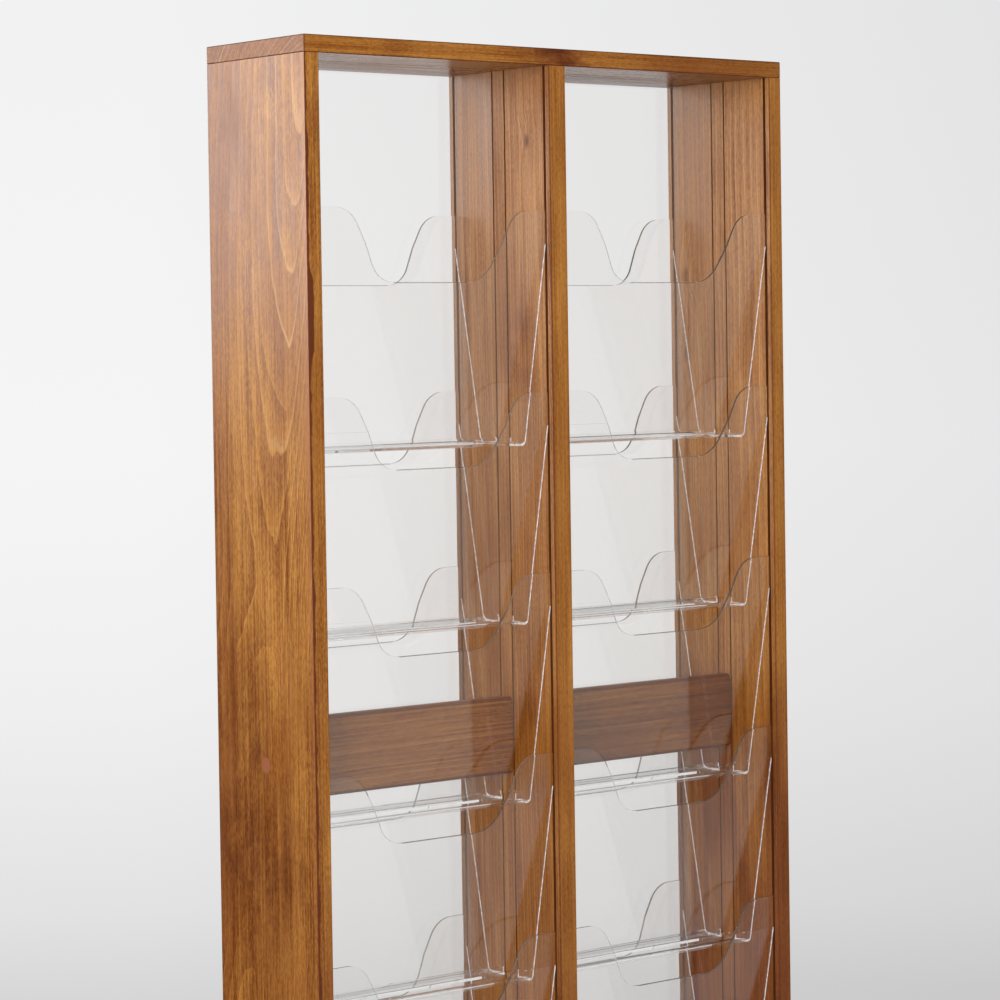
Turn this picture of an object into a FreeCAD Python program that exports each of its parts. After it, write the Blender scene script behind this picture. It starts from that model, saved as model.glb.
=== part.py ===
import FreeCAD, Part
import math
import os

from FreeCAD import Vector

# Double-sided periodical display rack: two columns of clear acrylic pockets, front and rear,
# in a narrow hardwood frame on two cross feet.
# Millimetres. +X to the right, +Y to the rear, +Z up. The origin is on the floor, under the
# middle of the rack. Each side of the rack mirrors the other, so depths are also given as
# "out", the distance from the rack's middle plane towards the side that a pocket faces.

# ---- Driving dimensions ----

# Frame
CLEAR_WIDTH = 235.0        # inside width of one column
DEPTH = 135.0              # uprights and boards, front to rear
SIDE_T = 14.2              # side panel thickness
DIVIDER_T = 18.2           # centre divider thickness
TOP_T = 14.2               # top board thickness
BOTTOM_T = 14.2            # bottom board thickness
RAIL_T = 14.2              # mid rail thickness
RAIL_H = 65.6              # mid rail height
EDGE_EASE = 0.8            # small chamfer on the boards' edges
RAIL_EDGE_R = 5.0          # rounded long edges of the mid rails

# Pockets
ROWS = 6
ROW_PITCH = 150.5          # from one pocket to the next one down
TOP_CLEAR = 119.7          # top board's underside to the first pocket's ears
BOTTOM_CLEAR = 53.4        # last pocket's underside to the bottom board
POCKET_T = 2.0             # acrylic of the pockets
POCKET_H = 196.0           # ear tip to underside
EAR_H = 28.0               # upright part, held in the outer grooves
POCKET_BOTTOM_D = 20.4     # bottom, from the back sheet to the corner below the slope
LIP_H = 7.0                # lip that is bonded to the back sheet
CORNER_BEND_R = 4.0        # inside radius at the lower front corner
SCOOP_D = 59.3             # depth of the scooped opening below the ear tips
SCOOP_EAR_W = 18.0         # flat top of each ear, from the wood
SCOOP_SHOULDER_R = 24.0    # rounding from the ear into the scoop
SCOOP_FOOT_R = 26.0        # rounding from the scoop's side into its floor
SCOOP_SLOPE = 62.5         # steepness of the scoop's side, degrees

# Back sheets and grooves
SHEET_T = 2.0              # acrylic of the back sheets
SHEET_TO_RAIL = 0.3        # gap between a back sheet and the mid rail
EAR_GROOVE_SETBACK = 5.1   # wood left between an outer groove and the face
GROOVE_DEPTH = 5.0
GROOVE_CLEAR = 0.6         # groove wider than its sheet
EAR_GROOVE_EXTRA = 0.6     # outer grooves are wider still, so that ears slide down them
TAB_CLEAR = 0.5            # sheet edge to the groove's floor
SIDE_CLEAR = 1.0           # sloped part of a pocket to the wood
BOARD_GROOVE_DEPTH = 4.0   # in the top and bottom boards, for the ends of the back sheets

# Feet
FOOT_L = 330.0             # front to rear
FOOT_W = 44.0
FOOT_H = 38.0
FOOT_END_H = 22.0          # height of the foot at its ends
FOOT_TOP_MARGIN = 12.0     # level part of the foot beyond the rack's faces
FOOT_RELIEF = 6.0          # hollow under the middle of the foot
FOOT_PAD_L = 62.0          # part of the foot at each end that stands on its glide
FOOT_EDGE_EASE = 2.5       # chamfer on the edges that show from above
FOOT_END_R = 8.0
GLIDE_D = 24.0
GLIDE_H = 4.0
GLIDE_FROM_END = 30.0      # glide's centre to the foot's end

# Loose tenons, glued into mortises
TENON_T = 5.0
TENON_W = 26.0
TENON_IN_BOARD = 9.0       # in the top board, the bottom board
TENON_IN_UPRIGHT = 20.0
TENON_IN_FOOT = 20.0
TENON_OUT = 38.0           # tenons of uprights and feet, from the middle plane
RAIL_TENON_W = 40.0
TENON_IN_RAIL = 20.0
MORTISE_SPARE = 0.5        # mortise deeper than its tenon, for the glue

# Screws and plugs
SCREW_D = 4.5
SCREW_HEAD_D = 8.0
SCREW_HEAD_H = 2.6
COUNTERBORE_D = 12.7
SCREW_TIP_CLEAR = 0.5      # hole past the screw's tip
RAIL_SCREW_L = 45.0        # below the head
RAIL_SCREW_DROP = 3.0      # rail screw's axis below the middle of the rail
RAIL_SCREW_WOOD = 6.6      # side panel wood under the rail screw's head
FOOT_SCREW_L = 32.0
FOOT_SCREW_WOOD = 22.0     # foot wood under the foot screw's head

# Modelling tolerance when an edge is picked by its place
TINY = 0.01

# ---- Levels and places that follow ----

UPRIGHT_H = TOP_CLEAR + (ROWS - 1) * ROW_PITCH + POCKET_H + BOTTOM_CLEAR
WIDTH = 2 * SIDE_T + 2 * CLEAR_WIDTH + DIVIDER_T
Z_FOOT = GLIDE_H
Z_BOTTOM = Z_FOOT + FOOT_H
Z_UPRIGHT = Z_BOTTOM + BOTTOM_T
Z_UPRIGHT_TOP = Z_UPRIGHT + UPRIGHT_H
Z_TOP = Z_UPRIGHT_TOP + TOP_T
Z_RAIL = Z_UPRIGHT + UPRIGHT_H / 2
Z_RAIL_SCREW = Z_RAIL - RAIL_SCREW_DROP

COLUMNS = {"left": -1, "right": 1}
FACES = {"front": -1, "rear": 1}
COLUMN_X = (DIVIDER_T + CLEAR_WIDTH) / 2       # column centre from the rack's centre
SIDE_X = WIDTH / 2 - SIDE_T / 2                # side panel centre from the rack's centre

SHEET_OUT = RAIL_T / 2 + SHEET_TO_RAIL + SHEET_T / 2      # back sheet's middle
SHEET_GROOVE_W = SHEET_T + GROOVE_CLEAR
EAR_GROOVE_W = POCKET_T + GROOVE_CLEAR + EAR_GROOVE_EXTRA
EAR_OUT = DEPTH / 2 - EAR_GROOVE_SETBACK - EAR_GROOVE_W / 2   # ear's middle
TAB_W = GROOVE_DEPTH - TAB_CLEAR

FOOT_X = WIDTH / 2 - FOOT_W / 2
GLIDE_OUT = FOOT_L / 2 - GLIDE_FROM_END
PLUG_L = SIDE_T - RAIL_SCREW_WOOD - SCREW_HEAD_H


# ---- Shapes that are used more than once ----

def block(x_mid, y_mid, z_low, length_x, length_y, height):
    """Box centred in X and Y, standing on z_low."""
    corner = Vector(x_mid - length_x / 2, y_mid - length_y / 2, z_low)
    return Part.makeBox(length_x, length_y, height, corner)


def edges_along(shape, direction):
    """Straight edges of a shape that run along a direction."""
    found = []
    for edge in shape.Edges:
        run = edge.Vertexes[-1].Point - edge.Vertexes[0].Point
        if run.Length > 0 and abs(run.normalize().dot(direction)) > 0.999:
            found.append(edge)
    return found


def cylinder_along(start, direction, diameter, length):
    return Part.makeCylinder(diameter / 2, length, start, direction)


def screw(seat, direction, length):
    """Pan-head wood screw: seat is the middle of the face under its head."""
    head = cylinder_along(seat, -direction, SCREW_HEAD_D, SCREW_HEAD_H)
    return head.fuse(cylinder_along(seat, direction, SCREW_D, length))


def screw_hole(seat, direction, length):
    """Hole for a screw's shank, from under its head."""
    return cylinder_along(seat, direction, SCREW_D, length + SCREW_TIP_CLEAR)


def write(name, solids):
    shape = solids[0] if len(solids) == 1 else Part.makeCompound(solids)
    shape.exportStep("parts/" + name + ".step")


# ---- Tenons and screws, or the holes for them ----

def upright_tenons(z_joint, into_board, spare=0.0):
    """Two tenons across the joint of each upright; into_board is 1 upwards, -1 downwards."""
    tenons = []
    height = TENON_IN_BOARD + TENON_IN_UPRIGHT + 2 * spare
    below = TENON_IN_UPRIGHT if into_board > 0 else TENON_IN_BOARD
    for x in (-SIDE_X, 0, SIDE_X):
        for face in FACES.values():
            tenons.append(block(x, face * TENON_OUT, z_joint - below - spare, TENON_T, TENON_W, height))
    return tenons


def top_tenons(spare=0.0):
    return upright_tenons(Z_UPRIGHT_TOP, 1, spare)


def bottom_tenons(spare=0.0):
    return upright_tenons(Z_UPRIGHT, -1, spare)


def foot_tenons(spare=0.0):
    """Two tenons between each foot and the bottom board."""
    height = TENON_IN_BOARD + TENON_IN_FOOT + 2 * spare
    z_low = Z_BOTTOM - TENON_IN_FOOT - spare
    return [block(side * FOOT_X, face * TENON_OUT, z_low, TENON_T, TENON_W, height)
            for side in COLUMNS.values() for face in FACES.values()]


def rail_tenon(spare=0.0):
    """One tenon through the divider, which carries the inner ends of both mid rails."""
    length = DIVIDER_T + 2 * (TENON_IN_RAIL + spare)
    return block(0, 0, Z_RAIL - RAIL_TENON_W / 2, length, TENON_T, RAIL_TENON_W)


def rail_screws(make):
    """One screw through each side panel into the outer end of its mid rail."""
    x_seat = WIDTH / 2 - SIDE_T + RAIL_SCREW_WOOD
    return [make(Vector(side * x_seat, 0, Z_RAIL_SCREW), Vector(-side, 0, 0), RAIL_SCREW_L)
            for side in COLUMNS.values()]


def foot_screws(make):
    """One screw up through the middle of each foot into the bottom board."""
    z_seat = Z_BOTTOM - FOOT_SCREW_WOOD
    return [make(Vector(side * FOOT_X, 0, z_seat), Vector(0, 0, 1), FOOT_SCREW_L)
            for side in COLUMNS.values()]


def rail_plug(side, length):
    """Round bar inwards from a side panel's outer face, on the axis of its rail screw."""
    start = Vector(side * WIDTH / 2, 0, Z_RAIL_SCREW)
    return cylinder_along(start, Vector(-side, 0, 0), COUNTERBORE_D, length)


# ---- Frame ----

def groove_cuts(x_face, toward):
    """Four full-height saw grooves in an upright's face; toward points into the wood."""
    cuts = []
    x_mid = x_face + toward * GROOVE_DEPTH / 2
    for face in FACES.values():
        for out, width in ((EAR_OUT, EAR_GROOVE_W), (SHEET_OUT, SHEET_GROOVE_W)):
            cuts.append(block(x_mid, face * out, Z_UPRIGHT, GROOVE_DEPTH, width, UPRIGHT_H))
    return cuts


def upright(x_mid, thickness):
    """Plain upright with eased long edges."""
    board = block(x_mid, 0, Z_UPRIGHT, thickness, DEPTH, UPRIGHT_H)
    return board.makeChamfer(EDGE_EASE, edges_along(board, Vector(0, 0, 1)))


def upright_mortises():
    return top_tenons(MORTISE_SPARE) + bottom_tenons(MORTISE_SPARE)


def side_panel(side):
    cuts = groove_cuts(side * (WIDTH / 2 - SIDE_T), side) + upright_mortises()
    cuts += rail_screws(screw_hole)
    cuts.append(rail_plug(side, SIDE_T - RAIL_SCREW_WOOD))
    return upright(side * SIDE_X, SIDE_T).cut(cuts)


def centre_divider():
    cuts = groove_cuts(-DIVIDER_T / 2, 1) + groove_cuts(DIVIDER_T / 2, -1) + upright_mortises()
    cuts.append(rail_tenon())
    return upright(0, DIVIDER_T).cut(cuts)


def end_board(z_low, thickness):
    """Top or bottom board, flush with the uprights all round, edges eased."""
    board = block(0, 0, z_low, WIDTH, DEPTH, thickness)
    return board.makeChamfer(EDGE_EASE, board.Edges)


def board_grooves(z_low):
    """Stopped grooves in an end board, in line with the thin grooves of the uprights."""
    length = CLEAR_WIDTH + 2 * GROOVE_DEPTH
    return [block(side * COLUMN_X, face * SHEET_OUT, z_low, length, SHEET_GROOVE_W, BOARD_GROOVE_DEPTH)
            for side in COLUMNS.values() for face in FACES.values()]


def top_board():
    cuts = board_grooves(Z_UPRIGHT_TOP) + top_tenons(MORTISE_SPARE)
    return end_board(Z_UPRIGHT_TOP, TOP_T).cut(cuts)


def bottom_board():
    cuts = board_grooves(Z_UPRIGHT - BOARD_GROOVE_DEPTH) + bottom_tenons(MORTISE_SPARE)
    cuts += foot_tenons(MORTISE_SPARE) + foot_screws(screw_hole)
    return end_board(Z_BOTTOM, BOTTOM_T).cut(cuts)


def mid_rail(side):
    rail = block(side * COLUMN_X, 0, Z_RAIL - RAIL_H / 2, CLEAR_WIDTH, RAIL_T, RAIL_H)
    rail = rail.makeFillet(RAIL_EDGE_R, edges_along(rail, Vector(1, 0, 0)))
    return rail.cut([rail_tenon(MORTISE_SPARE)] + rail_screws(screw_hole))


# ---- Acrylic ----

def back_sheet(side, face):
    """Full-height clear sheet, held in thin grooves all round."""
    z_low = Z_UPRIGHT - BOARD_GROOVE_DEPTH
    height = UPRIGHT_H + 2 * BOARD_GROOVE_DEPTH - TAB_CLEAR
    width = CLEAR_WIDTH + 2 * TAB_W
    return block(side * COLUMN_X, face * SHEET_OUT, z_low, width, SHEET_T, height)


def left_of(direction):
    return Vector(-direction.y, direction.x, 0)


def bent_strip(points, inside_radii, thickness):
    """Flat face, in X and Y, of a strip that follows points and bends at the inner ones.

    A bend of inside radius 0 is a sharp crease.
    """
    runs = [(end - start).normalize() for start, end in zip(points, points[1:])]
    outline = []
    for side in (1, -1):
        cursor = points[0] + left_of(runs[0]) * side * thickness / 2
        for corner, inside, run, next_run in zip(points[1:-1], inside_radii, runs, runs[1:]):
            half_turn = run.getAngle(next_run) / 2
            hand = math.copysign(1, run.cross(next_run).z)
            to_centre = (next_run - run).normalize()
            if inside == 0:
                crease = corner + to_centre * side * hand * thickness / 2 / math.cos(half_turn)
                outline.append(Part.makeLine(cursor, crease))
                cursor = crease
                continue
            radius = inside + thickness / 2
            arc_start = corner - run * radius * math.tan(half_turn)
            arc_end = corner + next_run * radius * math.tan(half_turn)
            centre = corner + to_centre * radius / math.cos(half_turn)
            middle = centre - to_centre * (radius - side * hand * thickness / 2)
            bend_start = arc_start + left_of(run) * side * thickness / 2
            bend_end = arc_end + left_of(next_run) * side * thickness / 2
            outline.append(Part.makeLine(cursor, bend_start))
            outline.append(Part.Arc(bend_start, middle, bend_end).toShape())
            cursor = bend_end
        outline.append(Part.makeLine(cursor, points[-1] + left_of(runs[-1]) * side * thickness / 2))
    for point, run in ((points[0], runs[0]), (points[-1], runs[-1])):
        across = left_of(run) * thickness / 2
        outline.append(Part.makeLine(point - across, point + across))
    return Part.Face(Part.Wire(Part.__sortEdges__(outline)))


def scoop(x_mid, z_tip):
    """Solid that cuts the scooped opening: two S-shaped sides and a level floor between ears."""
    angle = math.radians(SCOOP_SLOPE)
    rounding_drop = (SCOOP_SHOULDER_R + SCOOP_FOOT_R) * (1 - math.cos(angle))
    straight = (SCOOP_D - rounding_drop) / math.sin(angle)
    half_angle = angle / 2

    # One side, as distance from the wood and drop below the ear tips
    def side_points():
        start = (SCOOP_EAR_W, 0)
        shoulder_mid = (start[0] + SCOOP_SHOULDER_R * math.sin(half_angle),
                        SCOOP_SHOULDER_R * (1 - math.cos(half_angle)))
        shoulder_end = (start[0] + SCOOP_SHOULDER_R * math.sin(angle),
                        SCOOP_SHOULDER_R * (1 - math.cos(angle)))
        foot_start = (shoulder_end[0] + straight * math.cos(angle),
                      shoulder_end[1] + straight * math.sin(angle))
        floor_start = (foot_start[0] + SCOOP_FOOT_R * math.sin(angle), SCOOP_D)
        foot_mid = (floor_start[0] - SCOOP_FOOT_R * math.sin(half_angle),
                    SCOOP_D - SCOOP_FOOT_R * (1 - math.cos(half_angle)))
        return start, shoulder_mid, shoulder_end, foot_start, foot_mid, floor_start

    outline = []
    ends = []
    for hand in (-1, 1):
        points = [Vector(x_mid + hand * (CLEAR_WIDTH / 2 - along), 0, z_tip - drop)
                  for along, drop in side_points()]
        start, shoulder_mid, shoulder_end, foot_start, foot_mid, floor_start = points
        above = start + Vector(0, 0, POCKET_T)
        outline.append(Part.makeLine(above, start))
        outline.append(Part.Arc(start, shoulder_mid, shoulder_end).toShape())
        outline.append(Part.makeLine(shoulder_end, foot_start))
        outline.append(Part.Arc(foot_start, foot_mid, floor_start).toShape())
        ends.append((above, floor_start))
    outline.append(Part.makeLine(ends[0][0], ends[1][0]))
    outline.append(Part.makeLine(ends[0][1], ends[1][1]))
    face = Part.Face(Part.Wire(Part.__sortEdges__(outline)))
    face.translate(Vector(0, -DEPTH / 2, 0))
    return face.extrude(Vector(0, DEPTH, 0))


def pocket(side, face, row):
    """One bent acrylic pocket: ears in the outer grooves, slope, bottom and bonded lip."""
    z_tip = Z_UPRIGHT_TOP - TOP_CLEAR - row * ROW_PITCH
    z_under = z_tip - POCKET_H
    z_ear = z_tip - EAR_H
    sheet_face = SHEET_OUT + SHEET_T / 2
    lip_out = sheet_face + POCKET_T / 2
    route = [
        Vector(EAR_OUT, z_tip, 0),
        Vector(EAR_OUT, z_ear, 0),
        Vector(sheet_face + POCKET_BOTTOM_D, z_under + POCKET_T / 2, 0),
        Vector(lip_out, z_under + POCKET_T / 2, 0),
        Vector(lip_out, z_under + LIP_H, 0),
    ]
    profile = bent_strip(route, [0, CORNER_BEND_R, 0], POCKET_T)

    # Stand the profile up in Y and Z, then draw it out to the full width of the tabs
    width = CLEAR_WIDTH + 2 * TAB_W
    x_mid = side * COLUMN_X
    profile.Placement = FreeCAD.Placement(
        Vector(x_mid - width / 2, 0, 0), FreeCAD.Rotation(Vector(1, 1, 1), 120))
    body = profile.extrude(Vector(width, 0, 0))
    if face < 0:
        body = body.mirror(Vector(0, 0, 0), Vector(0, 1, 0))

    cuts = [scoop(x_mid, z_tip)]
    notch = TAB_W + SIDE_CLEAR
    for hand in (-1, 1):
        x_notch = x_mid + hand * (CLEAR_WIDTH / 2 - SIDE_CLEAR + notch / 2)
        cuts.append(block(x_notch, 0, z_under, notch, DEPTH, z_ear - z_under))
    return body.cut(cuts)


# ---- Feet ----

def foot(side):
    """Cross foot: level under the rack, sloped to its ends, hollowed between its two pads."""
    half = FOOT_L / 2
    level = DEPTH / 2 + FOOT_TOP_MARGIN
    pad_inner = half - FOOT_PAD_L
    relief_start = pad_inner - FOOT_RELIEF
    right_half = [
        (level, Z_BOTTOM),
        (half, Z_FOOT + FOOT_END_H),
        (half, Z_FOOT),
        (pad_inner, Z_FOOT),
        (relief_start, Z_FOOT + FOOT_RELIEF),
    ]
    outline = right_half + [(-y, z) for y, z in reversed(right_half)]
    x_low = side * FOOT_X - FOOT_W / 2
    points = [Vector(x_low, y, z) for y, z in outline]
    bar = Part.Face(Part.makePolygon(points + points[:1])).extrude(Vector(FOOT_W, 0, 0))

    # Round the tips, then ease the edges that show from above
    tips = [edge for edge in edges_along(bar, Vector(1, 0, 0))
            if abs(edge.CenterOfMass.z - (Z_FOOT + FOOT_END_H)) < TINY]
    bar = bar.makeFillet(FOOT_END_R, tips)
    upper = [edge for edge in bar.Edges
             if edge.CenterOfMass.z > Z_FOOT + FOOT_RELIEF + TINY
             and abs(abs(edge.CenterOfMass.x - side * FOOT_X) - FOOT_W / 2) < TINY]
    bar = bar.makeChamfer(FOOT_EDGE_EASE, upper)

    counterbore_h = FOOT_H - FOOT_SCREW_WOOD
    counterbore = cylinder_along(
        Vector(side * FOOT_X, 0, Z_FOOT), Vector(0, 0, 1), COUNTERBORE_D, counterbore_h)
    return bar.cut([counterbore] + foot_screws(screw_hole) + foot_tenons(MORTISE_SPARE))


def foot_glides():
    """Round glides bonded under the ends of the feet."""
    return [cylinder_along(Vector(side * FOOT_X, face * GLIDE_OUT, 0), Vector(0, 0, 1), GLIDE_D, GLIDE_H)
            for side in COLUMNS.values() for face in FACES.values()]


def main():
    os.makedirs("parts", exist_ok=True)
    write("top_board", [top_board()])
    write("bottom_board", [bottom_board()])
    write("centre_divider", [centre_divider()])
    for column, side in COLUMNS.items():
        write(column + "_side_panel", [side_panel(side)])
        write(column + "_mid_rail", [mid_rail(side)])
        write(column + "_foot", [foot(side)])
        for face_name, face in FACES.items():
            write("back_sheet_" + face_name + "_" + column, [back_sheet(side, face)])
            for row in range(ROWS):
                name = "pocket_" + face_name + "_" + column + "_" + str(row + 1)
                write(name, [pocket(side, face, row)])
    write("top_tenons", top_tenons())
    write("bottom_tenons", bottom_tenons())
    write("foot_tenons", foot_tenons())
    write("rail_tenon", [rail_tenon()])
    write("rail_screws", rail_screws(screw))
    write("rail_plugs", [rail_plug(side, PLUG_L) for side in COLUMNS.values()])
    write("foot_screws", foot_screws(screw))
    write("foot_glides", foot_glides())


main()
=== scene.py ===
import math
from functools import partial

import bpy
from mathutils import Matrix, Vector


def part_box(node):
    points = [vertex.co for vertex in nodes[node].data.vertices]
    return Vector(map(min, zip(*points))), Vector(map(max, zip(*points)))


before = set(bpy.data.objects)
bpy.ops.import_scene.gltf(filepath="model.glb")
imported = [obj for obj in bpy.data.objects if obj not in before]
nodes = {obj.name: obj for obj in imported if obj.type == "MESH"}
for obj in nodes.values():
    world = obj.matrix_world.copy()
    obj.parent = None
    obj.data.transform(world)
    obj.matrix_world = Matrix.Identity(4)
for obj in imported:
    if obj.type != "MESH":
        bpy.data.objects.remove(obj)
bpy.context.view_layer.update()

# Double-sided periodical display rack: stained hardwood frame, clear acrylic pockets.
# Metres, in the CAD model's frame: +X to the right, +Y to the rear, +Z up, the floor at 0.

scene = bpy.context.scene
MM = 0.001

# ---- Shader tools ----


def linear(hex_colour):
    """sRGB hex to a linear colour with alpha 1."""
    channels = [int(hex_colour[i:i + 2], 16) / 255 for i in (1, 3, 5)]
    return [c / 12.92 if c <= 0.04045 else ((c + 0.055) / 1.055) ** 2.4 for c in channels] + [1.0]


def add(tree, kind, inputs=(), **settings):
    """Adds a node with its settings; each input is a value, or a node or socket to link."""
    node = tree.nodes.new("ShaderNode" + kind)
    for name, value in settings.items():
        setattr(node, name, value)
    named = inputs.items() if isinstance(inputs, dict) else enumerate(inputs)
    for socket, value in named:
        if isinstance(value, bpy.types.Node):
            value = value.outputs[0]
        if isinstance(value, bpy.types.NodeSocket):
            tree.links.new(value, node.inputs[socket])
        else:
            node.inputs[socket].default_value = value
    return node


def new_material(name):
    """Empty node material; returns it with its tree."""
    material = bpy.data.materials.new(name)
    material.use_nodes = True
    material.node_tree.nodes.clear()
    return material, material.node_tree


def paint(material, *names):
    """Gives CAD nodes their material."""
    for name in names:
        data = nodes[name].data
        data.materials.clear()
        data.materials.append(material)


# ---- Stained hardwood ----

STAIN_LIGHT = "#C68634"
STAIN_DARK = "#80420A"
STAIN_RED = "#965619"
RED_SIDE = "#DFCDB8"       # multiplied over the redder side of a board
DARKER_STAIN_AND_SHADE = "#BFA088"         # multiplied over smudges and over a darker stretch, which is painted shade towards the bottom of the uprights
GROWTH_LINE = "#DBAE74"
RUBBED_EDGE = "#AC6A42"
# arris stain, also used as painted shade along every eased edge
ARRIS_STAIN_AND_SHADE = "#5C2206"
# darker stain in the saw grooves, with painted shade in the recess
GROOVE_STAIN_AND_SHADE = "#6B3A1E"
PORE = "#5A2C0C"
KNOT = "#45220E"

X, Y, Z = 0, 1, 2
UPRIGHT = (Y, X, Z)
LYING = (Y, Z, X)
ON_EDGE = (Z, Y, X)
CROSSWISE = (X, Z, Y)
SQUARE_ON = 0.9            # a face looks along an axis if its normal has this much of it
SEED_STEP = 977.0          # mm from one board's part of a pattern to the next board's
FIGURE_FADE = 70.0         # mm over which a board's figure grows faint
FRONT_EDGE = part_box("top_board")[0][Y] / MM      # across a board that is as deep as the rack
ALL_ALONG = (-900.0, -800.0)     # darker from before the board's start, so all of it
SHEEN_CLOUDS = 0.24        # how much the varnish's roughness changes from place to place
PORE_DEPTH = 0.05 * MM


class Grain:
    """Nodes for one board's grain, in mm from the board's middle.

    axes: which of X, Y and Z runs across the board, through it and along it.
    """

    def __init__(self, tree, board, axes, seed):
        self.put = partial(add, tree)
        low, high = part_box(board)
        self.half_size = [(high[axis] - low[axis]) / 2 / MM for axis in axes]
        middle = [(a + b) / 2 / MM for a, b in zip(low, high)]
        where = self.put("TexCoord").outputs["Object"]
        local = self.put("VectorMath", [where, (1 / MM,) * 3], operation="MULTIPLY")
        local = self.put("VectorMath", [local, middle], operation="SUBTRACT")
        split = self.put("SeparateXYZ", [local])
        self.across, self.through, self.along = [split.outputs[axis] for axis in axes]
        seeded = self.put("Math", [self.along, seed * SEED_STEP], operation="ADD")
        self.place = self.put("CombineXYZ", [self.across, self.through, seeded])

        normal = self.put("SeparateXYZ", [self.put("NewGeometry").outputs["True Normal"]])
        facing = [self.put("Math", [normal.outputs[axis]], operation="ABSOLUTE") for axis in axes]
        self.narrow_face, self.wide_face, self.end_face = [
            self.put("Math", [share, SQUARE_ON], operation="GREATER_THAN") for share in facing]
        squarest = self.put("Math", facing[:2], operation="MAXIMUM")
        squarest = self.put("Math", [squarest, facing[2]], operation="MAXIMUM")
        self.eased_edge = self.put("Math", [squarest, SQUARE_ON], operation="LESS_THAN")

    def mottle(self, width, length, detail=2.0):
        """Random mottling whose spots are this wide and long, in mm."""
        place = self.put("VectorMath", [self.place, (1 / width, 1 / width, 1 / length)],
                         operation="MULTIPLY")
        return self.put("TexNoise", {"Vector": place, "Scale": 1.0, "Detail": detail})

    def near(self, across, along, size):
        """1 at a place on the board, fading to 0 at this distance, twice as far along the grain."""
        offset = self.put("CombineXYZ", [
            self.put("Math", [self.across, across], operation="SUBTRACT"),
            self.put("Math", [self.along, 0.5, -0.5 * along], operation="MULTIPLY_ADD"), 0.0])
        distance = self.put("VectorMath", [offset], operation="LENGTH").outputs["Value"]
        return self.put("MapRange", [distance, size, 0.0], interpolation_type="SMOOTHSTEP")


def growth_rings(grain, pith, taper, ring, knots):
    """How far each point is through its growth ring, from 0 to 1, and the ring's number.

    The rings run round a pith line beside the board, as a saw cuts them, so a wide face shows
    arches and an edge shows lines.
    """
    put = grain.put
    across_at, below, drift, skew = pith
    arch_at, slope, blunt = taper
    axis = put("Math", [grain.along, drift / 1000, across_at], operation="MULTIPLY_ADD")
    sideways = put("Math", [grain.across, axis], operation="SUBTRACT")
    steeper = put("Math", [sideways], operation="ABSOLUTE")
    sideways = put("Math", [steeper, skew, sideways], operation="MULTIPLY_ADD")
    from_arch = put("Math", [grain.along, arch_at], operation="SUBTRACT")
    from_arch = put("CombineXYZ", [from_arch, blunt, 0.0])
    from_arch = put("VectorMath", [from_arch], operation="LENGTH").outputs["Value"]
    depth = put("Math", [from_arch, -slope, below], operation="MULTIPLY_ADD")
    depth = put("Math", [depth, grain.through], operation="ADD")
    from_pith = put("CombineXYZ", [sideways, depth, 0.0])
    radius = put("VectorMath", [from_pith], operation="LENGTH").outputs["Value"]
    long_waves, short_waves = grain.mottle(60.0, 260.0, 1.5), grain.mottle(9.0, 40.0, 1.0)
    for waves, height in ((long_waves, 11.0), (short_waves, 1.1)):
        radius = put("Math", [waves, height, radius], operation="MULTIPLY_ADD")
    for across, along, size, _ in knots:
        bulge = grain.near(across, along, size * 3.0)
        radius = put("Math", [bulge, -size * 1.2, radius], operation="MULTIPLY_ADD")
    turns = put("Math", [radius, 1 / ring], operation="MULTIPLY")
    growth = put("Math", [turns, 0.4], operation="MULTIPLY")
    years = put("TexNoise", {"W": growth, "Scale": 1.0}, noise_dimensions="1D")
    turns = put("Math", [years, 2.0, turns], operation="MULTIPLY_ADD")
    return put("Math", [turns], operation="FRACT"), turns


def figure(grain, season, turns, lines, plain, faint_side):
    """How far each ring has paled towards its outside, and the thin pale line that ends it.

    Some years show more than others, and narrow faces show little of either.
    """
    put = grain.put
    late = put("Math", [season, 1.6], operation="POWER")
    rise = put("MapRange", [season, 0.84, 0.96], interpolation_type="SMOOTHSTEP")
    fall = put("MapRange", [season, 1.0, 0.96], interpolation_type="SMOOTHSTEP")
    line = put("Math", [rise, fall], operation="MULTIPLY")
    number = put("Math", [turns], operation="FLOOR")
    year = put("TexNoise", {"W": number, "Scale": 3.7, "Detail": 0.0}, noise_dimensions="1D")
    showing = put("MapRange", [year, 0.3, 0.7, 0.15 * lines, lines], interpolation_type="SMOOTHSTEP")
    line = put("Math", [line, showing], operation="MULTIPLY")
    figured = put("Math", [grain.wide_face, grain.end_face], operation="MAXIMUM")
    figured = put("MapRange", [figured, 0.0, 1.0, 0.1, 1.0])
    if plain:
        middle, half, share = plain
        off = put("Math", [grain.along, middle], operation="SUBTRACT")
        off = put("Math", [off], operation="ABSOLUTE")
        kept = put("MapRange", [off, half, half + FIGURE_FADE, 1.0 - share, 1.0],
                   interpolation_type="SMOOTHSTEP")
        figured = put("Math", [figured, kept], operation="MULTIPLY")
    if faint_side:
        start, end, share = faint_side
        kept = put("MapRange", [grain.across, start, end, 1.0, 1.0 - share],
                   interpolation_type="SMOOTHSTEP")
        line = put("Math", [line, kept], operation="MULTIPLY")
    line = put("Math", [line, figured], operation="MULTIPLY")
    late = put("Math", [late, figured], operation="MULTIPLY")
    return late, line


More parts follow.
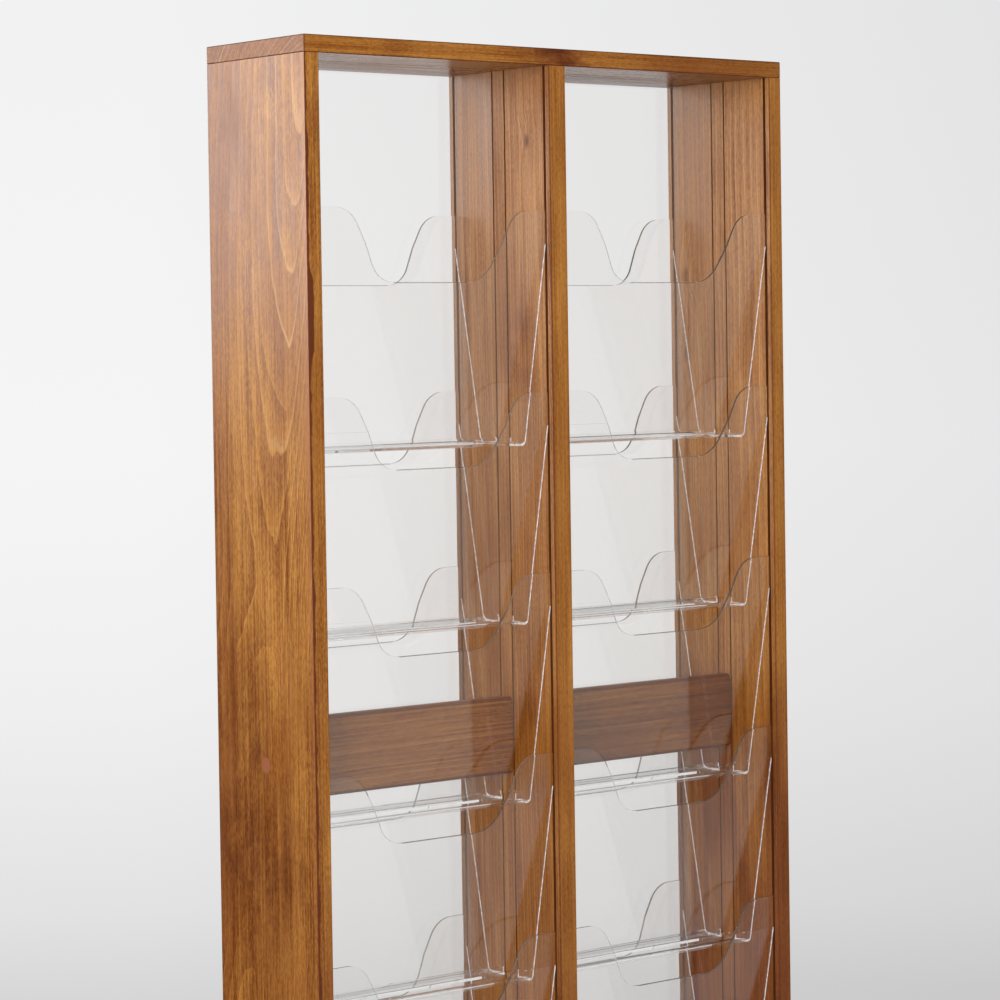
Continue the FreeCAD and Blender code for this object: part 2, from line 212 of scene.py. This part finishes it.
def stained_hardwood(name, board, axes, pith=(0.0, 50.0, 0.0, 0.0), taper=(0.0, 0.0, 1.0), ring=4.0,
                     seed=0.0, knots=(), smudges=(), lines=0.5, tone=0.0, darker_stretch=(450.0, -350.0, 0.3),
                     red_side=None, faint_side=None, plain=None, edge_tone=0.0, contrast=1.0,
                     satin=0.36, shine=0.4, outer_face=False, grooved=False):
    """Plain-sawn hardwood, wiped with brown stain and varnished satin.

    The eye sees fine dark pores and pale growth lines along each board, blotches where the wood
    drank more stain, and a soft sheen that greys the faces which mirror the light.

    pith: its place across the board and below its middle, its drift across per metre and how
    much steeper the rings are on one side.
    taper: where along the board the arches meet, how fast they close and how blunt they are.
    knots, smudges: places across and along the board, radius and darkness.
    tone: paler above 0. soaked: between which places along the board it grows darker, and how much;
    towards the bottom of the uprights this darkening is painted shade.
    red_side: places across the board between which the wood turns redder.
    faint_side: places across the board between which its growth lines fade, and the share that goes.
    contrast: how strongly its grain and figure show.
    plain: middle and half length of a stretch where its figure is faint, and the share that goes.
    edge_tone: how much paler its narrow faces are.
    satin, shine: how blurred the varnish mirrors and how strongly.
    """
    material, tree = new_material(name)
    grain = Grain(tree, board, axes, seed)
    put = grain.put
    season, turns = growth_rings(grain, pith, taper, ring, knots)
    late, line = figure(grain, season, turns, lines, plain, faint_side)

    # Real pores and flecks are half as wide as these, too fine to show
    streaks = grain.mottle(1.3, 150.0, 3.0)
    flecks = grain.mottle(1.3, 4.0)
    pores = grain.mottle(1.1, 5.0, 1.0)
    bands = grain.mottle(9.0, 380.0)
    blotches = grain.mottle(15.0, 70.0, 4.0)
    patches = grain.mottle(60.0, 170.0)

    # How much stain each point took
    shade = put("Math", [late, 0.38 * contrast, 0.28 + tone], operation="MULTIPLY_ADD")
    shade = put("Math", [grain.narrow_face, edge_tone, shade], operation="MULTIPLY_ADD")
    shade = put("Math", [grain.end_face, -0.2, shade], operation="MULTIPLY_ADD")
    for layer, strength in ((bands, 0.15), (streaks, 0.24), (flecks, 0.2), (blotches, 0.16)):
        reach = strength * contrast
        step = put("MapRange", [layer, 0.25, 0.75, -reach, reach], interpolation_type="SMOOTHSTEP")
        shade = put("Math", [shade, step], operation="ADD")
    shade = put("Math", [shade, 0.0], operation="ADD", use_clamp=True)
    colour = put("MixRGB", [shade, linear(STAIN_DARK), linear(STAIN_LIGHT)])
    redder = put("MapRange", [patches, 0.45, 0.72, 0.0, 0.45], interpolation_type="SMOOTHSTEP")
    colour = put("MixRGB", [redder, colour, linear(STAIN_RED)])
    if red_side:
        start, end, share = red_side
        wander = grain.across
        for layer, reach in ((patches, 70.0), (blotches, 40.0)):
            wander = put("Math", [layer, reach, wander], operation="MULTIPLY_ADD")
            start += reach / 2
            end += reach / 2
        redder = put("MapRange", [wander, start, end, 0.0, share], interpolation_type="SMOOTHSTEP")
        colour = put("MixRGB", [redder, colour, linear(RED_SIDE)], blend_type="MULTIPLY")
    colour = put("MixRGB", [line, colour, linear(GROWTH_LINE)])
    open_pores = put("MapRange", [pores, 0.6, 0.8, 0.0, 0.45], interpolation_type="SMOOTHSTEP")
    colour = put("MixRGB", [open_pores, colour, linear(PORE)])

    colour = dark_places(grain, colour, smudges, knots, darker_stretch)
    if outer_face:
        colour = put("MixRGB", [rubbed_edge(grain), colour, linear(RUBBED_EDGE)])
        colour = put("MixRGB", [arris_stain(grain), colour, linear(ARRIS_STAIN_AND_SHADE)])
    if grooved:
        # Grooves painted darker: stain that collected in them, and painted shade in the recess
        colour = put("MixRGB", [in_groove(grain), colour, linear(GROOVE_STAIN_AND_SHADE)])

    # The varnish fills the pores only partly and is thin on the eased edges
    relief = put("Math", [pores, -0.6, streaks], operation="MULTIPLY_ADD")
    bump = put("Bump", {"Height": relief, "Distance": PORE_DEPTH, "Strength": 0.7})
    satin -= SHEEN_CLOUDS / 2
    rough = put("MapRange", [streaks, 0.2, 0.8, satin - 0.05, satin + 0.05])
    rough = put("Math", [blotches, SHEEN_CLOUDS, rough], operation="MULTIPLY_ADD")
    rough = put("Math", [grain.end_face, 0.2, rough], operation="MULTIPLY_ADD")
    rough = put("Math", [grain.eased_edge, 0.5, rough], operation="MULTIPLY_ADD")
    surface = put("BsdfPrincipled", {
        "Base Color": colour, "Roughness": rough, "IOR": 1.5, "Specular IOR Level": shine,
        "Normal": bump})
    put("OutputMaterial", [surface])
    return material


def dark_places(grain, colour, smudges, knots, darker_stretch):
    """The colour with smudges, knots, a darker stretch (painted shade low on the uprights) and stain with
    painted shade on eased edges.
    """
    put = grain.put
    clouds = grain.mottle(15.0, 34.0, 4.0)
    for across, along, size, darkness in smudges:
        drunk = put("MapRange", [clouds, 0.72, 0.32, 0.0, darkness], interpolation_type="SMOOTHSTEP")
        smudge = put("Math", [grain.near(across, along, size), drunk], operation="MULTIPLY")
        colour = put("MixRGB", [smudge, colour, linear(DARKER_STAIN_AND_SHADE)], blend_type="MULTIPLY")
    for across, along, size, darkness in knots:
        heart = put("Math", [grain.near(across, along, size), darkness], operation="MULTIPLY")
        colour = put("MixRGB", [heart, colour, linear(KNOT)])
    # Darker along a stretch of the board: towards the bottom of the uprights this is painted shade for
    # light that falls off lower down
    start, end, share = darker_stretch
    stretch_darkening = put("MapRange", [grain.along, start, end, 0.0, share], interpolation_type="SMOOTHSTEP")
    uneven = put("MapRange", [grain.mottle(70.0, 240.0, 3.0), 0.3, 0.7, 0.4, 1.3],
                 interpolation_type="SMOOTHSTEP")
    stretch_darkening = put("Math", [stretch_darkening, uneven], operation="MULTIPLY", use_clamp=True)
    colour = put("MixRGB", [stretch_darkening, colour, linear(DARKER_STAIN_AND_SHADE)], blend_type="MULTIPLY")
    # Eased edges painted darker: stain that collected there, and painted shade along them
    edge_stain_and_shade = put("Math", [grain.eased_edge, 0.65], operation="MULTIPLY")
    return put("MixRGB", [edge_stain_and_shade, colour, linear(ARRIS_STAIN_AND_SHADE)])


def rubbed_edge(grain):
    """Front edge of the outer face, where hands have rubbed the stain thin, most near the top."""
    put = grain.put
    strip = put("MapRange", [grain.across, FRONT_EDGE + 7.0, FRONT_EDGE + 4.5, 0.0, 0.4],
                interpolation_type="SMOOTHSTEP")
    strip = put("Math", [strip, grain.wide_face], operation="MULTIPLY")
    higher = put("MapRange", [grain.along, -150.0, 250.0, 0.1, 1.0], interpolation_type="SMOOTHSTEP")
    return put("Math", [strip, higher], operation="MULTIPLY")


def arris_stain(grain):
    """Stain that collected along the outer front arris, with one wide run below the top."""
    put = grain.put
    start = put("MapRange", [grain.along, 296.0, 345.0, 0.0, 4.2], interpolation_type="SMOOTHSTEP")
    end = put("MapRange", [grain.along, 394.0, 380.0], interpolation_type="SMOOTHSTEP")
    wavering = put("MapRange", [grain.mottle(400.0, 22.0, 3.0), 0.3, 0.7, 0.4, 2.9])
    width = put("Math", [start, end, wavering], operation="MULTIPLY_ADD")
    from_arris = put("Math", [grain.through, grain.half_size[1]], operation="ADD")
    from_line = put("Math", [width, from_arris], operation="SUBTRACT")
    inside = put("MapRange", [from_line, -0.5, 0.5, 0.0, 0.9], interpolation_type="SMOOTHSTEP")
    on_front = put("Math", [grain.across, 0.6 - grain.half_size[0]], operation="LESS_THAN")
    return put("Math", [on_front, inside], operation="MULTIPLY")


def in_groove(grain):
    """1 on every surface below the board's faces, so in its saw grooves."""
    put = grain.put
    from_middle = put("Math", [grain.through], operation="ABSOLUTE")
    deep = put("Math", [from_middle, grain.half_size[1] - 0.3], operation="LESS_THAN")
    from_middle = put("Math", [grain.across], operation="ABSOLUTE")
    inside = put("Math", [from_middle, grain.half_size[0] - 2.0], operation="LESS_THAN")
    return put("Math", [deep, inside], operation="MULTIPLY")


BOARDS = {
    "left_side_panel": dict(
        axes=UPRIGHT, pith=(1.2, 55.0, -123.0, -0.45), taper=(139.0, 0.085, 30.0), ring=4.6, seed=1.0,
        lines=0.5, tone=0.08, edge_tone=0.06, contrast=1.2, darker_stretch=(150.0, -250.0, 0.45),
        red_side=(20.0, 60.0, 0.85), faint_side=(-30.0, 20.0, 0.75), plain=(-40.0, 90.0, 0.8),
        outer_face=True, grooved=True,
        # The first smudge darkens the whole top of the outer face
        smudges=((0.0, 560.0, 190.0, 0.5), (8.0, 5.0, 18.0, 0.8), (22.0, -75.0, 50.0, 0.7),
                 (-38.0, -85.0, 45.0, 0.6), (52.0, -65.0, 40.0, 0.6), (-8.0, -100.0, 34.0, 0.4))),
    "centre_divider": dict(
        axes=UPRIGHT, pith=(70.0, 45.0, 20.0, 0.0), seed=2.0, lines=0.3, tone=0.04, edge_tone=0.14,
        contrast=0.9, darker_stretch=(450.0, -350.0, 0.35), grooved=True, knots=((-38.0, 500.0, 5.0, 0.8),),
        smudges=((-25.0, 330.0, 34.0, 0.9), (-30.0, 20.0, 24.0, 0.8))),
    "right_side_panel": dict(
        axes=UPRIGHT, pith=(-80.0, 60.0, 10.0, 0.0), seed=3.0, lines=0.3, tone=0.17, edge_tone=0.08,
        contrast=0.9, darker_stretch=(75.0, -30.0, 1.0), grooved=True,
        knots=((45.0, 390.0, 7.0, 0.6), (48.0, 320.0, 6.0, 0.6))),
    "top_board": dict(
        axes=LYING, pith=(-90.0, 80.0, 10.0, 0.0), seed=4.0, lines=0.5, tone=-0.1, edge_tone=0.33,
        satin=0.28, darker_stretch=(20.0, 120.0, 0.8),
        smudges=((FRONT_EDGE, 8.0, 45.0, 1.0), (FRONT_EDGE, 8.0, 25.0, 1.0),
                 (FRONT_EDGE, -165.0, 14.0, 0.5))),
    "bottom_board": dict(axes=LYING, pith=(-20.0, 50.0, 20.0, 0.0), seed=5.0),
    "left_mid_rail": dict(
        axes=ON_EDGE, pith=(60.0, 50.0, 20.0, 0.0), seed=6.0, lines=0.15, tone=-0.13,
        contrast=0.65, satin=0.5, shine=0.1, darker_stretch=(*ALL_ALONG, 0.2)),
    "right_mid_rail": dict(
        axes=ON_EDGE, pith=(-60.0, 50.0, 30.0, 0.0), seed=7.0, lines=0.15, tone=-0.13,
        contrast=0.65, satin=0.5, shine=0.1, darker_stretch=(*ALL_ALONG, 0.9)),
    "left_foot": dict(axes=CROSSWISE, pith=(30.0, 50.0, 20.0, 0.0), seed=8.0),
    "right_foot": dict(axes=CROSSWISE, pith=(-30.0, 50.0, 20.0, 0.0), seed=9.0),
}
for board, cut in BOARDS.items():
    paint(stained_hardwood("stained_hardwood_" + board, board, **cut), board)


def plug_wood():
    """Birch plug, pinker than the boards around it and more evenly stained."""
    material, tree = new_material("stained_birch_plug")
    grain = Grain(tree, "rail_plugs", UPRIGHT, 10.0)
    colour = grain.put("MixRGB", [grain.mottle(1.2, 8.0), linear("#94532C"), linear("#A8603A")])
    surface = grain.put("BsdfPrincipled", {"Base Color": colour, "Roughness": 0.42, "IOR": 1.5})
    grain.put("OutputMaterial", [surface])
    return material


paint(plug_wood(), "rail_plugs")
paint(stained_hardwood("hardwood_tenons", "top_tenons", UPRIGHT, seed=11.0),
      "top_tenons", "bottom_tenons", "foot_tenons", "rail_tenon")

# ---- Clear acrylic ----

ACRYLIC_IOR = 1.49
LAMP_TINT = "#FAFAFA"      # share of lamp light that one face lets through
SHEET_FACE = -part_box("back_sheet_front_left")[0][Y]      # outer face, from the middle plane
FILM = 0.05 * MM           # how far from a face still counts as on it
LIP_HEIGHT = 7.0 * MM
BASE_HEIGHT = 9.0 * MM     # lip and bottom bends of a pocket
SCOOP_FLOOR = 136.7 * MM   # above the lip's lower edge
SCOOP_FLOOR_HALF = 38.0 * MM
BURR = 0.6 * MM            # burr left by the saw, below the scoop's floor
SCRAPED_PAINTED_SHADE = "#3E3E40"       # a scraped edge seen through the acrylic: painted shade
SCRAPED_PAINTED_LIT = "#7E7268"      # and seen from outside: its painted lit copy
STRAIGHT_ON = 0.75         # share of light that edges and bends pass without bending it
FROSTED_END_AND_GLOW = "#F2F2F2"
PAINTED_END_GLOW = 0.22            # painted glow at the frosted ends, standing in for light the sheet collects
SAW_MARK = 3.0 * MM
LIP_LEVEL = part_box("pocket_front_left_1")[0][Z]
ROW_PITCH = LIP_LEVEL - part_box("pocket_front_left_2")[0][Z]
COLUMN_MIDDLE = sum(corner[X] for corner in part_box("pocket_front_right_1")) / 2


def clear_acrylic(name, bent=False):
    """Cast acrylic sheet, polished: nearly colourless, it mirrors a little and shows edges as lines.

    Lamps shine straight through it. Where a pocket's lip is bonded to its back sheet, the two faces
    that meet pass light straight on, as one piece of acrylic does. bent: it is a pocket.
    """
    material, tree = new_material(name)
    put = partial(add, tree)
    surface = put("BsdfPrincipled", {
        "Base Color": linear("#FFFFFF"), "Roughness": 0.0, "IOR": ACRYLIC_IOR, "Transmission Weight": 1.0})
    where = put("SeparateXYZ", [put("TexCoord").outputs["Object"]])
    down = put("Math", [where.outputs["Z"], LIP_LEVEL], operation="SUBTRACT")
    in_row = put("Math", [down, ROW_PITCH], operation="FLOORED_MODULO")
    if bent:
        surface = pocket_edges(tree, surface, where, in_row)

    path = put("LightPath")
    light_ray = put("Math", [path.outputs["Is Shadow Ray"], path.outputs["Is Diffuse Ray"]],
                    operation="MAXIMUM")
    surface = put("MixShader", [light_ray, surface, put("BsdfTransparent", [linear(LAMP_TINT)])])

    out = put("Math", [where.outputs["Y"]], operation="ABSOLUTE")
    at_face = put("Math", [out, SHEET_FACE, FILM], operation="COMPARE")
    in_lip = put("Math", [in_row, LIP_HEIGHT], operation="LESS_THAN")
    below_top_lip = put("Math", [down, LIP_HEIGHT], operation="LESS_THAN")
    bonded = put("Math", [at_face, in_lip], operation="MULTIPLY")
    bonded = put("Math", [bonded, below_top_lip], operation="MULTIPLY")
    put("OutputMaterial", [put("MixShader", [bonded, surface, put("BsdfTransparent")])])
    material.cycles.emission_sampling = "NONE"     # the painted glow at the ends is too faint to be sampled as a lamp
    return material


def pocket_edges(tree, surface, where, in_row):
    """Edges left by the saw: scraped nearly clear, frosted at the ends that sit in the grooves.

    The edges and the bottom bends pass most of the light straight on, so they stay fine lines. A
    scraped edge is matt, its colour painted in a lit copy seen from outside and a dark copy of
    painted shade seen through the acrylic. Each frosted end is a white line through the sheet,
    with a painted glow standing in for light the sheet collects.
    """
    put = partial(add, tree)
    geometry = put("NewGeometry")
    normal = put("SeparateXYZ", [geometry.outputs["True Normal"]])
    sideways = put("Math", [normal.outputs["X"]], operation="ABSOLUTE")
    outwards = put("Math", [normal.outputs["Y"]], operation="ABSOLUTE")
    sawn = put("Math", [outwards, 0.3], operation="LESS_THAN")
    end = put("Math", [sideways, 0.95], operation="GREATER_THAN")
    sawn = put("Math", [sawn, end], operation="SUBTRACT", use_clamp=True)
    along_the_front = put("Math", [sideways, 0.1], operation="LESS_THAN")
    in_base = put("Math", [in_row, BASE_HEIGHT], operation="LESS_THAN")
    in_base = put("Math", [in_base, along_the_front], operation="MULTIPLY")
    sawn = put("Math", [sawn, in_base], operation="SUBTRACT", use_clamp=True)

    upwards = put("Math", [normal.outputs["Z"]], operation="ABSOLUTE")
    bent_over = put("Math", [upwards, 0.4], operation="GREATER_THAN")
    base = put("Math", [bent_over, along_the_front], operation="MULTIPLY")
    passing = put("Math", [sawn, base], operation="MAXIMUM")
    passing = put("Math", [passing, STRAIGHT_ON], operation="MULTIPLY")
    surface = put("MixShader", [passing, surface, put("BsdfTransparent")])

    from_middle = put("Math", [where.outputs["X"]], operation="ABSOLUTE")
    near_middle = put("Math", [from_middle, COLUMN_MIDDLE, SCOOP_FLOOR_HALF], operation="COMPARE")
    at_floor = put("Math", [in_row, SCOOP_FLOOR - BURR / 2, BURR / 2 + FILM], operation="COMPARE")
    burr = put("Math", [near_middle, at_floor], operation="MULTIPLY")
    inside = geometry.outputs["Backfacing"]
    matt = put("MapRange", [inside, 0.0, 1.0, 0.65, 0.18])
    matt = put("Math", [sawn, matt], operation="MULTIPLY")
    matt = put("Math", [burr, 0.35, matt], operation="MULTIPLY_ADD")
    # Lit copy seen from outside, painted shade seen through the acrylic
    scraped = put("MixRGB", [inside, linear(SCRAPED_PAINTED_LIT), linear(SCRAPED_PAINTED_SHADE)])
    surface = put("MixShader", [matt, surface, put("BsdfDiffuse", [scraped])])

    # Real saw marks are finer than these, too fine to show
    place = put("TexCoord").outputs["Object"]
    place = put("VectorMath", [place, (1 / SAW_MARK,) * 3], operation="MULTIPLY")
    marks = put("TexNoise", {"Vector": place, "Scale": 1.0, "Detail": 1.0})
    frost = put("MapRange", [marks, 0.35, 0.65, 0.5, 1.0])
    frost = put("Math", [frost, end], operation="MULTIPLY")
    # White frosted ends with a painted glow
    frosted = put("BsdfPrincipled", {
        "Base Color": linear(FROSTED_END_AND_GLOW), "Roughness": 0.8, "Emission Color": linear(FROSTED_END_AND_GLOW),
        "Emission Strength": PAINTED_END_GLOW})
    return put("MixShader", [frost, surface, frosted])


ROWS = 6
COLUMNS = ("left", "right")
SIDES = ("front", "rear")
pocket_names = [f"pocket_{side}_{column}_{row + 1}"
                for side in SIDES for column in COLUMNS for row in range(ROWS)]
sheet_names = [f"back_sheet_{side}_{column}" for side in SIDES for column in COLUMNS]
paint(clear_acrylic("clear_acrylic_pockets", bent=True), *pocket_names)
paint(clear_acrylic("clear_acrylic_back_sheets"), *sheet_names)

# ---- Steel and nylon ----

ZINC_CLOUD = 1.11 * MM     # zinc grain is far finer; this coarse, it shows as a little clouding
MOULD_GRAIN = 0.625 * MM   # real mould grain is a third of this, too fine to show
MOULD_GRAIN_DEPTH = 0.05 * MM


def zinc_plated_steel():
    """Zinc-plated steel screws: a bright grey metal, a little cloudy."""
    material, tree = new_material("zinc_plated_steel")
    put = partial(add, tree)
    where = put("TexCoord").outputs["Object"]
    haze = put("TexNoise", {"Vector": where, "Scale": 1 / ZINC_CLOUD, "Detail": 3.0})
    rough = put("MapRange", [haze, 0.0, 1.0, 0.22, 0.42])
    surface = put("BsdfPrincipled", {
        "Base Color": linear("#C9CCD0"), "Metallic": 1.0, "Roughness": rough})
    put("OutputMaterial", [surface])
    return material


def moulded_nylon():
    """Moulded nylon glides: plain dark brown with a fine mould grain."""
    material, tree = new_material("moulded_nylon")
    put = partial(add, tree)
    where = put("TexCoord").outputs["Object"]
    grain = put("TexNoise", {"Vector": where, "Scale": 1 / MOULD_GRAIN, "Detail": 2.0})
    bump = put("Bump", {"Height": grain, "Distance": MOULD_GRAIN_DEPTH, "Strength": 0.4})
    tint = put("MixRGB", [grain, linear("#3A2A1E"), linear("#4A382A")])
    surface = put("BsdfPrincipled", {
        "Base Color": tint, "Roughness": 0.55, "IOR": 1.53, "Normal": bump})
    put("OutputMaterial", [surface])
    return material


paint(zinc_plated_steel(), "rail_screws", "foot_screws")
paint(moulded_nylon(), "foot_glides")

# ---- Floor ----

FLOOR_RADIUS = 1.8
FLOOR_SIDES = 96
FLOOR_FADE = 1.1           # the floor begins to melt into the backdrop here
FLOOR_COLOUR = "#D9D9DA"
FLOOR_DIM = "#433F39"      # as glossy surfaces mirror it on its dim side
BRIGHT_SIDE = (0.63, -0.77, 0.0)     # to the right front, where it stays pale in mirrors


def floor():
    """Round pale studio floor whose rim fades into the backdrop."""
    turns = [math.tau * side / FLOOR_SIDES for side in range(FLOOR_SIDES)]
    rim = [(FLOOR_RADIUS * math.cos(turn), FLOOR_RADIUS * math.sin(turn), 0.0) for turn in turns]
    data = bpy.data.meshes.new("studio_floor")
    data.from_pydata(rim, [], [list(range(FLOOR_SIDES))])
    disc = bpy.data.objects.new("studio_floor", data)
    scene.collection.objects.link(disc)

    material, tree = new_material("studio_floor")
    put = partial(add, tree)
    where = put("TexCoord").outputs["Object"]
    distance = put("VectorMath", [where], operation="LENGTH").outputs["Value"]
    fade = put("MapRange", [distance, FLOOR_FADE, FLOOR_RADIUS], interpolation_type="SMOOTHSTEP")
    aside = put("VectorMath", [where, BRIGHT_SIDE], operation="DOT_PRODUCT").outputs["Value"]
    dim_side = put("MapRange", [aside, 0.3, -0.1], interpolation_type="SMOOTHSTEP")
    mirrored = put("Math", [put("LightPath").outputs["Glossy Depth"], 0.5], operation="GREATER_THAN")
    dim = put("Math", [mirrored, dim_side], operation="MULTIPLY")
    colour = put("MixRGB", [dim, linear(FLOOR_COLOUR), linear(FLOOR_DIM)])
    surface = put("MixShader", [fade, put("BsdfDiffuse", [colour]), put("BsdfTransparent")])
    put("OutputMaterial", [surface])
    data.materials.append(material)


floor()

# ---- Backdrop and light ----

BACKDROP_STEPS = (          # sine of the elevation, grey
    (-0.45, "#C4C4C4"), (-0.198, "#D6D6D6"), (-0.172, "#E2E2E2"), (-0.141, "#E9E9E9"),
    (-0.111, "#EFEFEF"), (-0.080, "#F2F2F2"), (-0.033, "#F5F5F5"), (0.10, "#F2F2F3"))
DARK_SIDE = (0.773, -0.634, 0.0)     # the backdrop is greyer towards this side
LIT_SIDE = (0.634, 0.773, 0.0)       # middle of the lit part of the backdrop
STUDIO_FRONT = "#FFF9EF"   # a warm white, mirrored in the varnish and the acrylic
STUDIO_LIGHT = 0.70
LIGHT_BOUNCES = 40         # enough for a line of sight through many faces of acrylic


def backdrop():
    """Pale grey backdrop for what is seen, the dim front of the studio for what is mirrored."""
    world = bpy.data.worlds.new("studio")
    world.use_nodes = True
    tree = world.node_tree
    tree.nodes.clear()
    put = partial(add, tree)
    direction = put("TexCoord").outputs["Generated"]
    split = put("SeparateXYZ", [direction])
    height = split.outputs["Z"]
    to_right = split.outputs["X"]
    lowest, highest = BACKDROP_STEPS[0][0], BACKDROP_STEPS[-1][0]
    ramp = put("ValToRGB", [put("MapRange", [height, lowest, highest])])
    stops = ramp.color_ramp.elements
    while len(stops) < len(BACKDROP_STEPS):
        stops.new(0.5)
    for stop, (sine, _) in zip(stops, BACKDROP_STEPS):
        stop.position = (sine - lowest) / (highest - lowest)
    for stop, (_, grey) in zip(stops, BACKDROP_STEPS):
        stop.color = linear(grey)
    sideways = put("VectorMath", [direction, DARK_SIDE], operation="DOT_PRODUCT").outputs["Value"]
    side_grey = put("MapRange", [sideways, -0.11, 0.30, 1.0, 0.80])
    seen = put("Background", [ramp, side_grey])

    # Away from the lit backdrop the studio is dim, dimmest to the left and low down there; what
    # the acrylic lets out to the right shows more of it
    path = put("LightPath")
    right_front = put("Math", [path.outputs["Is Transmission Ray"], 0.5, 0.2], operation="MULTIPLY_ADD")
    dim = put("MapRange", [to_right, -0.5, 0.6, 0.08, right_front])
    low_down = put("MapRange", [to_right, -0.3, 0.4, 0.25, 0.95])
    higher = put("MapRange", [height, -0.25, 0.05, low_down, 1.0])
    dim = put("Math", [dim, higher], operation="MULTIPLY")
    front = put("Background", [linear(STUDIO_FRONT), dim])
    to_backdrop = put("VectorMath", [direction, LIT_SIDE], operation="DOT_PRODUCT").outputs["Value"]
    behind = put("MapRange", [to_backdrop, 0.5, 0.85])
    mirrored = put("MixShader", [behind, front, seen])

    # Glossy Depth counts mirrors only, not acrylic that is looked straight through
    light = put("Background", [linear("#FFFFFF"), STUDIO_LIGHT])
    in_mirror = put("Math", [path.outputs["Glossy Depth"], 0.5], operation="GREATER_THAN")
    shown = put("MixShader", [in_mirror, seen, mirrored])
    eye = put("Math", [path.outputs["Is Camera Ray"], path.outputs["Is Glossy Ray"]],
              operation="MAXIMUM")
    eye = put("Math", [eye, path.outputs["Is Transmission Ray"]], operation="MAXIMUM")
    put("OutputWorld", [put("MixShader", [eye, light, shown])])
    scene.world = world


def softbox(name, place, target, size, watts, diffuse=True):
    """Rectangular soft light that shows only in mirrors, not to the eye or through the acrylic.

    diffuse: whether it lights the surfaces too.
    """
    data = bpy.data.lights.new(name, "AREA")
    data.shape = "RECTANGLE"
    data.size, data.size_y = size
    data.energy = watts
    lamp = bpy.data.objects.new(name, data)
    aim = Vector(target) - Vector(place)
    lamp.matrix_world = Matrix.Translation(place) @ aim.to_track_quat("-Z", "Y").to_matrix().to_4x4()
    lamp.visible_camera = False
    lamp.visible_transmission = False
    lamp.visible_diffuse = diffuse
    scene.collection.objects.link(lamp)


backdrop()
RACK_MIDDLE = (0.0, 0.0, 0.8)
softbox("key_left_front", (-2.1, -1.5, 1.3), RACK_MIDDLE, (1.2, 1.2), 34.0)
softbox("sheen_left_rear", (-0.95, 0.95, 1.45), (-0.25, 0.0, 1.1), (0.7, 1.0), 14.0, diffuse=False)

# ---- Camera ----

CAMERA_PLACE = (-1.7434, -2.1134, 0.9510)
CAMERA_HEADING = 39.335    # degrees to the right of straight at the rack
CAMERA_PITCH = -1.768
CAMERA_ROLL = -0.826
CAMERA_LENS = 116.316      # mm, on a 36 mm frame
CAMERA_SHIFT_Y = -0.06


def camera():
    """Long lens, from the left of the rack's front."""
    data = bpy.data.cameras.new("camera")
    data.lens = CAMERA_LENS
    data.sensor_width = 36.0
    data.shift_y = CAMERA_SHIFT_Y
    eye = bpy.data.objects.new("camera", data)
    turn = Matrix.Rotation(math.radians(-CAMERA_HEADING), 4, "Z")
    tilt = Matrix.Rotation(math.radians(90 + CAMERA_PITCH), 4, "X")
    roll = Matrix.Rotation(math.radians(CAMERA_ROLL), 4, "Z")
    eye.matrix_world = Matrix.Translation(CAMERA_PLACE) @ turn @ tilt @ roll
    scene.collection.objects.link(eye)
    scene.camera = eye


camera()
scene.view_settings.view_transform = "Standard"
scene.cycles.max_bounces = LIGHT_BOUNCES
scene.cycles.transmission_bounces = LIGHT_BOUNCES
scene.cycles.transparent_max_bounces = LIGHT_BOUNCES
